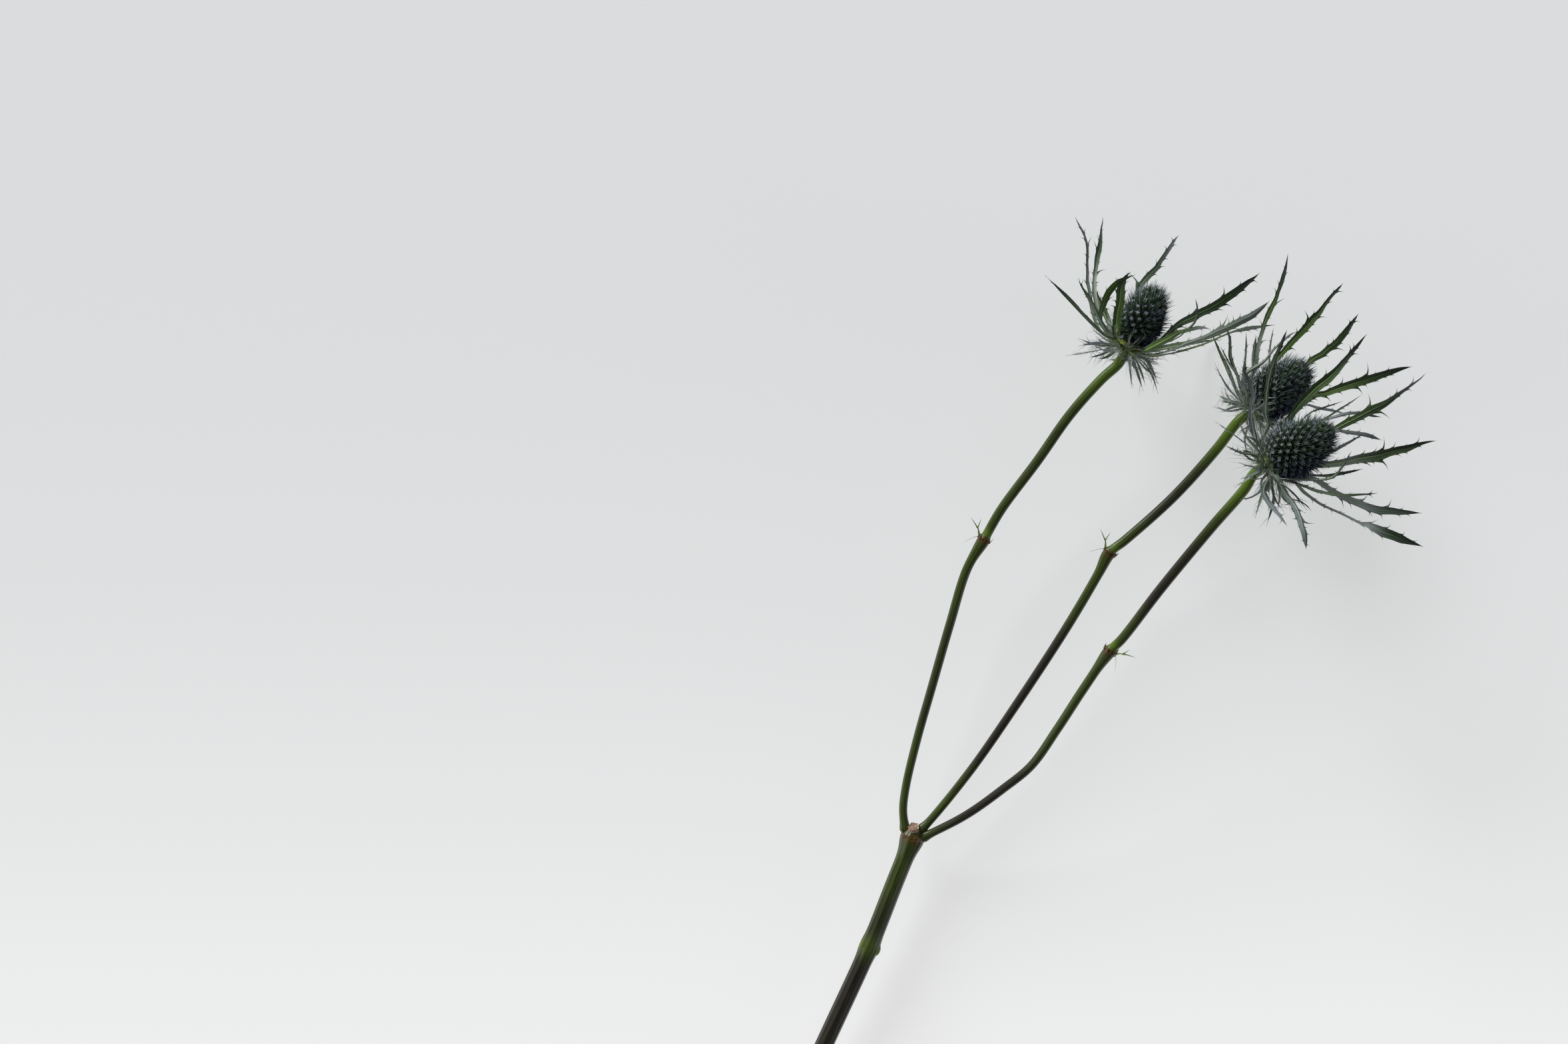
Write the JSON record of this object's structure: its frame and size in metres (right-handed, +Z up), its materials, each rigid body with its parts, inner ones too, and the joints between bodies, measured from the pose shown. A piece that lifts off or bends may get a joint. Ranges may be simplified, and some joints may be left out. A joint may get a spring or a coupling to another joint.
{
  "type": "sea holly stem",
  "caption": "Cut stem of sea holly, lying down: a ribbed stem that forks into egg-shaped blue-green flower heads, each in a ruff of spiny toothed bracts.",
  "frame": {"origin": "under the middle of the part's box, on the surface that it lies on", "axes": "+Z up, +Y from the cut end towards the heads, +X to the right seen from above"},
  "size_m": [0.2826, 0.45, 0.1076],
  "materials": {
    "stem": "satin green bark with purple-brown stretches and fine ribs",
    "bracts": "matte dark green above, silvery blue-green below, with pale veins",
    "florets": "matte dark blue-green with pale grey-lilac tips"
  },
  "bodies": {
    "root": {"stem": "stem", "ruff_left": "bracts", "cone_left": "florets", "ruff_middle": "bracts", "cone_middle": "florets", "ruff_right": "bracts", "cone_right": "florets"}
  },
  "joints": []
}
